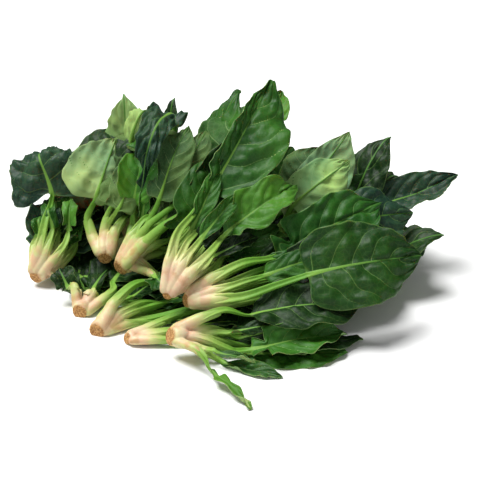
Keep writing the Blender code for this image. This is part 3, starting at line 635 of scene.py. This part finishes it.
def shared_course(first, second, weight, size, deeper, girth, width):
    """A leaf that grows between two others, nearer the first where weight is near 1, size times as long."""
    a, b = read_at(first), read_at(second)
    over = np.sign((a[1] * b[1]).sum())
    inner = unit(weight * a[1] + (1 - weight) * over * b[1])
    other_wings = b[3] if over > 0 else b[3][1::-1] + b[3][:1:-1]
    wings = [(weight * p + (1 - weight) * q) * size * width for p, q in zip(a[3], other_wings)]
    foot = weight * a[0][0] + (1 - weight) * b[0][0]
    centre = foot + (weight * a[0] + (1 - weight) * b[0] - foot) * size
    tip = foot + (weight * first.tip + (1 - weight) * second.tip - foot) * size
    depth = np.concatenate([STALK_PLACES**1.5, np.ones(len(BLADE_PLACES))])[:, None] * deeper
    centre, tip = centre - inner * depth, tip - inner[-1] * deeper
    lowest = np.concatenate([np.full(len(STALK_PLACES), LOWEST_STALK), np.full(len(BLADE_PLACES), LOWEST_BLADE)])
    centre[:, 2], tip[2] = np.maximum(centre[:, 2], lowest), max(tip[2], LOWEST_TIP)
    radius = (weight * a[2] + (1 - weight) * b[2]) * girth
    across = unit(np.cross(unit(np.gradient(centre, axis=0)), inner))
    if (wings[2][-1] * across[-1]).sum() > 0:
        across = -across
    rows = len(STALK_PLACES)
    for k, share in enumerate((-0.5, 0.5, -1, 1)):
        wings[k][:rows] = across[:rows] * radius[:rows, None] * EDGE * share
    return Course(centre, inner, radius, np.stack(wings[:2]), np.stack(wings[2:]), rows - 1, tip)


def add_shoot(plant, course, green, lobes):
    name = f"{plant}_shoot_{len(shoots_of[plant]) + 1}"
    seed = zlib.crc32(name.encode())
    shoot = blade_object(name, course, green, FURTHER_QUILTING, FURTHER_RUFFLE, seed, lobes=lobes)
    shoot.data.materials.append(leaf_flesh)
    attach(shoot, "root")
    shoots_of[plant].append(course)


shoots_of = {plant: [] for plant in plants}
for plant in plants:
    rng = random.Random(zlib.crc32(plant.encode()))
    for i, first in enumerate(leaves_of[plant]):
        for second in leaves_of[plant][i + 1 :]:
            a, b = courses[first], courses[second]
            ways = [unit(course.centre[course.neck] - course.centre[0]) for course in (a, b)]
            if ways[0] @ ways[1] < WIDEST_PAIR:
                continue
            for size, deeper, width, green in (
                (rng.uniform(*FULL_SIZES), DEEPER, FULL_WIDTH, rng.choice(("deep", "deep", "fresh"))),
                (rng.uniform(*YOUNG_SIZES), -PROUDER, YOUNG_WIDTH, rng.choice(("deep", "fresh"))),
            ):
                course = shared_course(a, b, rng.uniform(*NEARNESS), size, deeper, rng.uniform(*GIRTHS), width)
                add_shoot(plant, course, green, lobes=rng.uniform(0, MOST_LOBED))

# The leaves that fill the heap. Each runs straight out from its crown. Most lie low, under the others and out onto
# the floor, and the last four stand up behind them.
FILLING = (  # plant, heading in degrees, length, height of the tip and half width in millimetres, and colour
    ("low_left", 12, 120, 4, 22, "deep"), ("low_left", 42, 100, 5, 22, "deep"), ("low_left", 95, 90, 8, 18, "deep"),
    ("front_left", 8, 130, 4, 22, "deep"), ("front_left", 30, 120, 8, 24, "deep"), ("front", 4, 130, 4, 22, "deep"),
    ("front", 22, 130, 8, 24, "deep"), ("front_right", 14, 140, 4, 26, "deep"), ("front_right", 0, 125, 3, 20, "fresh"),
    ("front_right", 30, 130, 8, 24, "deep"), ("far_left", -35, 80, 5, 18, "deep"), ("far_left", -10, 90, 8, 20, "deep"),
    ("centre_right", 20, 170, 30, 26, "deep"), ("centre", 35, 150, 40, 24, "deep"),
    ("mid_left", -20, 90, 15, 18, "deep"), ("inner_right", 12, 140, 50, 26, "deep"),
    ("rear_left", 20, 90, 25, 20, "deep"), ("mid_left", 51, 140, 146, 36, "fresh"),
    ("inner_right", 47, 142, 108, 25, "deep"), ("inner_left", 109, 66, 142, 28, "pale"),
    ("inner_left", 66, 84, 134, 18, "deep"),
)
FILLING_STALK = (0.03, 0.12, 0.24, 0.36)  # places along it, as shares of its length
FILLING_BLADE = ((0.42, 0.5), (0.52, 0.9), (0.68, 1.0), (0.85, 0.8), (0.96, 0.4))  # places, and widths as shares
FILLING_GIRTH = (0, 0.4, 1), (2.6 * MM, 2.0 * MM, 1.2 * MM)  # places, and radii of the stalk and the midrib
FILLING_LOWEST = 2.5 * MM
FILLING_BEND = 0.12  # how far a leaf bends to one side at most, as a share of its length
FILLING_TILT = 0.3  # and how far it leans over
FILLING_MOST_LOBED = 0.5
ARCHING = 1.5 * MM  # how far the middle of each half blade stands above a flat one


def filling_course(plant, heading, length, height, half_width, rng):
    start = np.array(crown_centre(plant))
    way = np.array([math.cos(math.radians(heading)), math.sin(math.radians(heading)), 0])
    side = np.cross((0, 0, 1), way)
    places = np.array([*FILLING_STALK, *(place for place, _ in FILLING_BLADE), 1.0])
    rows = len(FILLING_STALK)
    low = max(FILLING_LOWEST, min(start[2] * 0.5, height * MM))
    heights = start[2] + (low - start[2]) * step(0, 0.4, places) + (height * MM - low) * step(0.35, 1, places)
    bend = rng.uniform(-FILLING_BEND, FILLING_BEND) * length * MM * places**2
    centre = start + way * (places * length * MM)[:, None] + side * bend[:, None]
    centre[:, 2] = np.maximum(heights, FILLING_LOWEST)
    up = unit(np.array([0, 0, 1.0]) + side * rng.uniform(-FILLING_TILT, FILLING_TILT))
    along = unit(np.gradient(centre, axis=0))
    inner = unit(up - along * (along @ up)[:, None])
    radius = np.interp(places, *FILLING_GIRTH)[:-1]
    across = np.cross(inner, along)[:-1]
    wide = np.concatenate([radius[:rows] * EDGE, np.array([share for _, share in FILLING_BLADE]) * half_width * MM])
    rims = np.stack([-across * wide[:, None], across * wide[:, None]])
    halves = rims / 2
    halves[:, rows:] += inner[rows:-1] * ARCHING
    return Course(centre[:-1], inner[:-1], radius, halves, rims, rows - 1, centre[-1])


rng = random.Random(5)
for plant, heading, length, height, half_width, green in FILLING:
    course = filling_course(plant, heading, length, height, half_width, rng)
    add_shoot(plant, course, green, lobes=rng.uniform(0, FILLING_MOST_LOBED))

# The crowns. A crown is the short thick stem, trimmed straight across below, with the feet of all its stalks grown
# together on it. It is cream, blushed pink where the stalks part, and tan and rough where the root was cut.
SLIMMER = {"centre": 0.55, "centre_right": 0.85, "front": 0.9}  # the cut ends that are narrower
CROWN_WAYS = {  # from the cut end towards the leaves, and the size
    "low_left": ((0.35, 0.85, 0.30), 1.0), "front_left": ((0.45, 0.75, 0.35), 1.1),
    "front": ((0.90, 0.35, 0.05), 0.85), "far_left": ((0.45, 0.50, 0.65), 1.0),
    "front_right": ((0.97, 0.05, 0.05), 1.15), "inner_left": ((0.10, 0.60, 0.75), 0.95),
    "inner_right": ((0.85, 0.40, 0.45), 0.95), "inner_middle": ((0.20, 0.60, 0.75), 0.95),
    "rear_left": ((0.10, 0.75, 0.60), 1.0), "mid_left": ((0.60, 0.45, 0.60), 1.15),
    "centre_right": ((0.93, 0.15, 0.25), 1.1), "centre": ((0.42, 0.50, 0.72), 1.15),
}
CROWN_RADIUS = 7.6 * MM
ROOT_LENGTH = 9.0 * MM
CUT_FOUND = 0.6 * MM  # corners of the solid this near its end are on the cut
CROWN_PROFILE = (  # radius and height, in shares of the two
    (0.0, -0.88), (0.62, -0.90), (0.80, -0.86), (0.88, -0.7), (0.86, -0.4), (0.78, -0.1), (0.65, 0.2), (0.4, 0.5),
    (0.0, 0.7),
)
CUT_AT = 0.9  # how far the cut is below the collar, in shares of the root's length
FACING = np.array([0.0, -0.5, 0.45])  # the knife's cuts are turned a little to the front and up
LIMB = (  # how wide and thick a stalk's foot is, in the stalk's radii, from inside the crown to the stalk
    (1.2, 1.0), (1.5, 1.2), (1.65, 1.35), (1.7, 1.4), (1.65, 1.35), (1.6, 1.3), (1.55, 1.2), (1.5, 1.15),
    (1.45, 1.1), (1.42, 1.0), (1.40, 0.9), (1.32, 0.8), (1.2, 0.6),
)
LIMB_END = 17 * MM  # how far up its stalk a foot tapers
LIMB_SHARE = 0.6  # and how much of a short stalk it takes at most
LIMB_LEAN, LIMB_APART = 1.2, 0.6  # how far a foot inside the root leans its stalk's way, and away from the others
LIMB_START = 2.5 * MM  # above the cut
LIMB_SPREAD = (0.5, 0.7)  # how far a foot is from the root's middle at its start and halfway, in the root's radii
LIMB_HALFWAY = 0.65  # how high above the cut it is there, as a share of the root's length
LIMB_NEAR = 0.35  # how far along its stalk the next place is that it runs through, as a share of its taper
LIMB_KNOTS = np.array([0.0, 1, 2, 3, 4.6])
LIMB_SUNK = 0.15  # how far the foot's middle lies below the stalk's, in the stalk's radii
FLESH_GRAIN = 0.55 * MM
SMOOTHINGS = 5
ROUND = np.linspace(0, 2 * math.pi, 24, endpoint=False)


def tube(work, rings):
    """A closed skin over rings of points, added to the mesh being made."""
    loops = [[work.verts.new(p) for p in ring] for ring in rings]
    for a, b in zip(loops, loops[1:]):
        for k in range(len(a)):
            work.faces.new((a[k], a[k - 1], b[k - 1], b[k]))
    work.faces.new(loops[0][::-1])
    work.faces.new(loops[-1])


def root_rings(collar, way, cut_in, wideness, size):
    """The rings of the root, which lie square to the cut at the one end and to the crown's way at the other."""
    for radius, height in CROWN_PROFILE:
        share = min(max(height + CUT_AT, 0), 1)
        axis = unit(cut_in * (1 - share) + way * share)
        first = unit(np.cross(axis, (0.3, 0.2, 1.0)))
        turn = np.cos(ROUND)[:, None] * first + np.sin(ROUND)[:, None] * np.cross(axis, first)
        yield collar + way * height * ROOT_LENGTH * size + turn * max(radius * wideness, 0.2 * MM)


def foot_rings(course, cut, collar, way, cut_in, wideness, size):
    """The rings of one stalk's fleshy foot, from inside the root along the start of the leaf's course."""
    knots = lengths_along(course.centre)
    end = min(LIMB_END, LIMB_SHARE * knots[course.neck])
    foot, near, far = (
        np.array([np.interp(place, knots, c) for c in course.centre.T]) for place in (0, end * LIMB_NEAR, end)
    )
    sideways = unit(near - foot) * LIMB_LEAN + (foot - collar) / wideness * LIMB_APART
    sideways = sideways - (sideways @ way) * way
    sideways = sideways / max(np.linalg.norm(sideways), 1)
    root = cut + cut_in * LIMB_START + sideways * LIMB_SPREAD[0] * wideness
    middle = cut + way * ROOT_LENGTH * size * LIMB_HALFWAY + sideways * LIMB_SPREAD[1] * wideness
    line = np.array([root, middle, foot, near, far])
    places = between(LIMB_KNOTS, line, np.linspace(0, LIMB_KNOTS[-1], len(LIMB)))
    radius = course.radius[0]
    for place, along, (wide, thick) in zip(places, unit(np.gradient(places, axis=0)), LIMB):
        inner = unit(course.inner[0] - (course.inner[0] @ along) * along)
        across = np.cross(along, inner)
        place = place - inner * radius * LIMB_SUNK
        yield [place + (across * wide * math.cos(t) + inner * thick * math.sin(t)) * radius for t in ROUND]


def grown_together(name, work):
    """One smooth skin over all the tubes of a crown."""
    parts = bpy.data.meshes.new(name)
    bmesh.ops.recalc_face_normals(work, faces=work.faces)
    work.to_mesh(parts)
    work.free()
    made = placed(parts.name, parts)
    fused = made.modifiers.new("grown_together", "REMESH")
    fused.mode = "VOXEL"
    fused.voxel_size = FLESH_GRAIN
    made_whole = made.evaluated_get(bpy.context.evaluated_depsgraph_get())
    grown = bpy.data.meshes.new_from_object(made_whole)
    made.modifiers.clear()
    made.data = grown
    bpy.data.meshes.remove(parts)
    work = bmesh.new()
    work.from_mesh(grown)
    for _ in range(SMOOTHINGS):
        bmesh.ops.smooth_vert(work, verts=work.verts, factor=0.5, use_axis_x=True, use_axis_y=True, use_axis_z=True)
    work.to_mesh(grown)
    work.free()
    return made


def crown_object(plant):
    way, size = CROWN_WAYS[plant]
    way = unit(way)
    wideness = CROWN_RADIUS * size * SLIMMER.get(plant, 1)
    corners = np.array([v.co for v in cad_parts[f"{plant}_crown"].data.vertices])
    heights = corners @ way
    solid_end = corners[heights < heights.min() + CUT_FOUND].mean(axis=0)
    collar = solid_end + way * ROOT_LENGTH * size
    cut = collar - way * ROOT_LENGTH * size * CUT_AT
    cut_in = unit(way - FACING)
    work = bmesh.new()
    tube(work, root_rings(collar, way, cut_in, wideness, size))
    for course in [courses[name] for name in leaves_of[plant]] + shoots_of[plant]:
        tube(work, foot_rings(course, cut, collar, way, cut_in, wideness, size))
    made = grown_together(f"{plant}_crown_flesh", work)
    places = np.array([v.co for v in made.data.vertices])
    places[:, 2] = np.maximum(places[:, 2], 0)
    made.data.vertices.foreach_set("co", places.astype(np.float32).ravel())
    depth = (places - cut) @ cut_in
    reach = np.linalg.norm(places - crown_centre(plant), axis=1) / PALE.get(plant, 1)
    out = np.linalg.norm(places - cut - depth[:, None] * cut_in, axis=1) / wideness
    marked(made.data, reach=reach, low=depth / (ROOT_LENGTH * size), out=out)
    made.data.shade_smooth()
    return made


BLUSH, RUST = (0.62, 0.28, 0.20), (0.42, 0.22, 0.06)
TAN = (0.24, 0.10, 0.025), (0.58, 0.33, 0.12)  # of the cut, in its dark and light grains


def crown_material():
    made, shader, start = new_material(
        "crown", Specular_IOR_Level=0.4, Subsurface_Weight=0.12, Subsurface_Scale=4 * MM,
    )
    place = start.place()
    low, out = start.read("low"), start.read("out")
    blotches = start.noise(place, 130, 4)
    grain = start.noise(place, 700, 4)
    blush = (1 - low.step(0.8, 2.4)) * blotches.step(0.38, 0.62)
    flesh = (blush * 0.5).mix(stalk_colour(start, place), BLUSH)
    rust = (1 - low.step(0.5, 2.0)) * start.noise(place, 90, 4).step(0.52, 0.7)
    flesh = (rust * 0.6).mix(flesh, RUST)
    cut = (1 - (low + grain * 0.3 - 0.15).step(0.08, 0.25)) * (1 - (out + blotches * 0.5).step(0.95, 1.2))
    colour = cut.mix(flesh, grain.step(0.3, 0.7).mix(*TAN))
    height = grain * (0.2 + cut * 0.8) + blotches * 0.4
    rough = 0.42 + cut * 0.4 + grain * 0.1
    wired(shader, start, Base_Color=colour, Roughness=rough, Normal=height.bump(0.8 * MM))
    return made


crown_flesh = crown_material()
for plant in plants:
    crown = crown_object(plant)
    crown.data.materials.append(crown_flesh)
    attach(crown, "root")
    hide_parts(f"{plant}_crown")

# The floor, the lamps and the camera. The bunch lies on a plain white surface. A broad soft light stands above it and
# a little to the left, a faint one in front fills the shadows, and the camera looks down on it at a low angle.
FLOOR_REACH = 3.0
FLOOR_WHITES = (0.88, 0.88, 0.88), (0.92, 0.92, 0.915)
WORLD_LIGHT = 0.15
LAMPS = (((-0.38, 0.10, 1.0), 34, 4.9), ((0.2, -1.0, 0.5), 60, 0.5))  # where from, how broad in degrees, and power
CAMERA_TARGET = (0.0046, 0.0197, 0.044)
CAMERA_ELEVATION = math.radians(24)
CAMERA_DISTANCE = 1.1
CAMERA_ANGLE = math.radians(21)

floor_mesh = bpy.data.meshes.new("floor")
h = FLOOR_REACH
floor_mesh.from_pydata([(-h, -h, 0), (h, -h, 0), (h, h, 0), (-h, h, 0)], [], [(0, 1, 2, 3)])
floor = placed("floor", floor_mesh)
floor_white, shader, start = new_material("floor", Roughness=0.6)
wired(shader, start, Base_Color=start.noise(start.place(), 3).mix(*FLOOR_WHITES))
floor_mesh.materials.append(floor_white)
floor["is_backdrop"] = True

world = bpy.data.worlds.new("studio")
world.use_nodes = True
world.node_tree.nodes["Background"].inputs["Color"].default_value = (1.0, 1.0, 1.0, 1)
world.node_tree.nodes["Background"].inputs["Strength"].default_value = WORLD_LIGHT
bpy.context.scene.world = world
for way, spread, power in LAMPS:
    lamp = placed("softbox", bpy.data.lights.new("softbox", "SUN"))
    lamp.data.angle, lamp.data.energy = math.radians(spread), power
    lamp.rotation_euler = Vector(way).to_track_quat("Z", "Y").to_euler()

bpy.context.scene.view_settings.view_transform = "Standard"
camera = placed("camera", bpy.data.cameras.new("camera"))
camera.data.angle = CAMERA_ANGLE
away = Vector((0, -math.cos(CAMERA_ELEVATION), math.sin(CAMERA_ELEVATION)))
camera.location = Vector(CAMERA_TARGET) + away * CAMERA_DISTANCE
camera.rotation_euler = (-away).to_track_quat("-Z", "Y").to_euler()
bpy.context.scene.camera = camera

boxes = [[list(corner) for corner in box] for box in (solids_box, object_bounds())]
